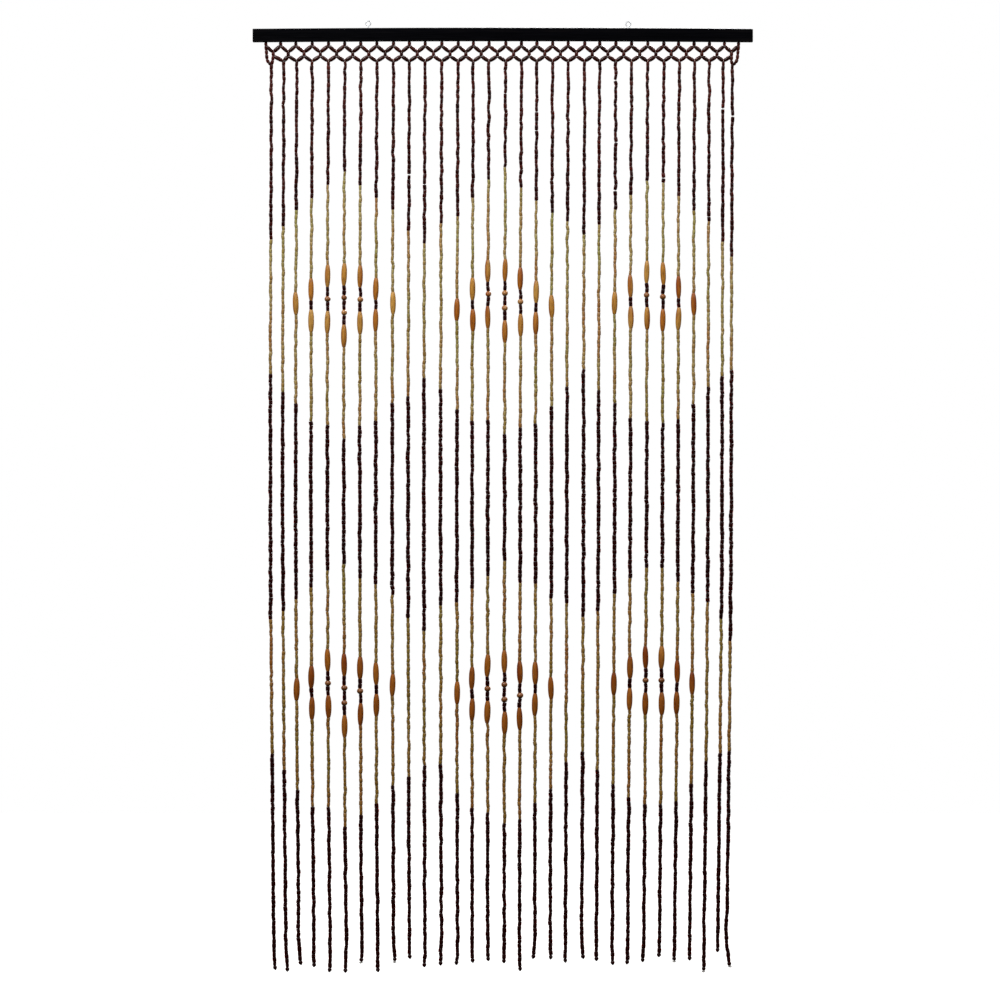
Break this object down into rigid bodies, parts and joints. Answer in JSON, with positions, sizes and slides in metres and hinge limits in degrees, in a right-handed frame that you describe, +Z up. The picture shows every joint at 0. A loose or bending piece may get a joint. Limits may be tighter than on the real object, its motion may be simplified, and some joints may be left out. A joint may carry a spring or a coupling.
{
  "type": "bead curtain with hanging rail",
  "caption": "Doorway curtain of separate wooden bead strings hanging from a beaded net under a straight rail, which two screw eyes hold up.",
  "frame": {"origin": "middle of the rail's length and depth, at the height where the two hooks bear in the screw eyes", "axes": "+X along the rail to the viewer's right, +Y through the curtain to its back, +Z up"},
  "size_m": [0.9, 0.012, 1.7132],
  "materials": {
    "rail_wood": "near black stain under a satin lacquer",
    "eye_steel": "zinc plated wire",
    "bead_wood": "turned wooden beads, dark mahogany, straw and amber stains under satin lacquer"
  },
  "bodies": {
    "root": {"rail": "rail_wood", "screw_eye_left": "eye_steel", "screw_eye_right": "eye_steel", "beadwork": "bead_wood"}
  },
  "joints": []
}
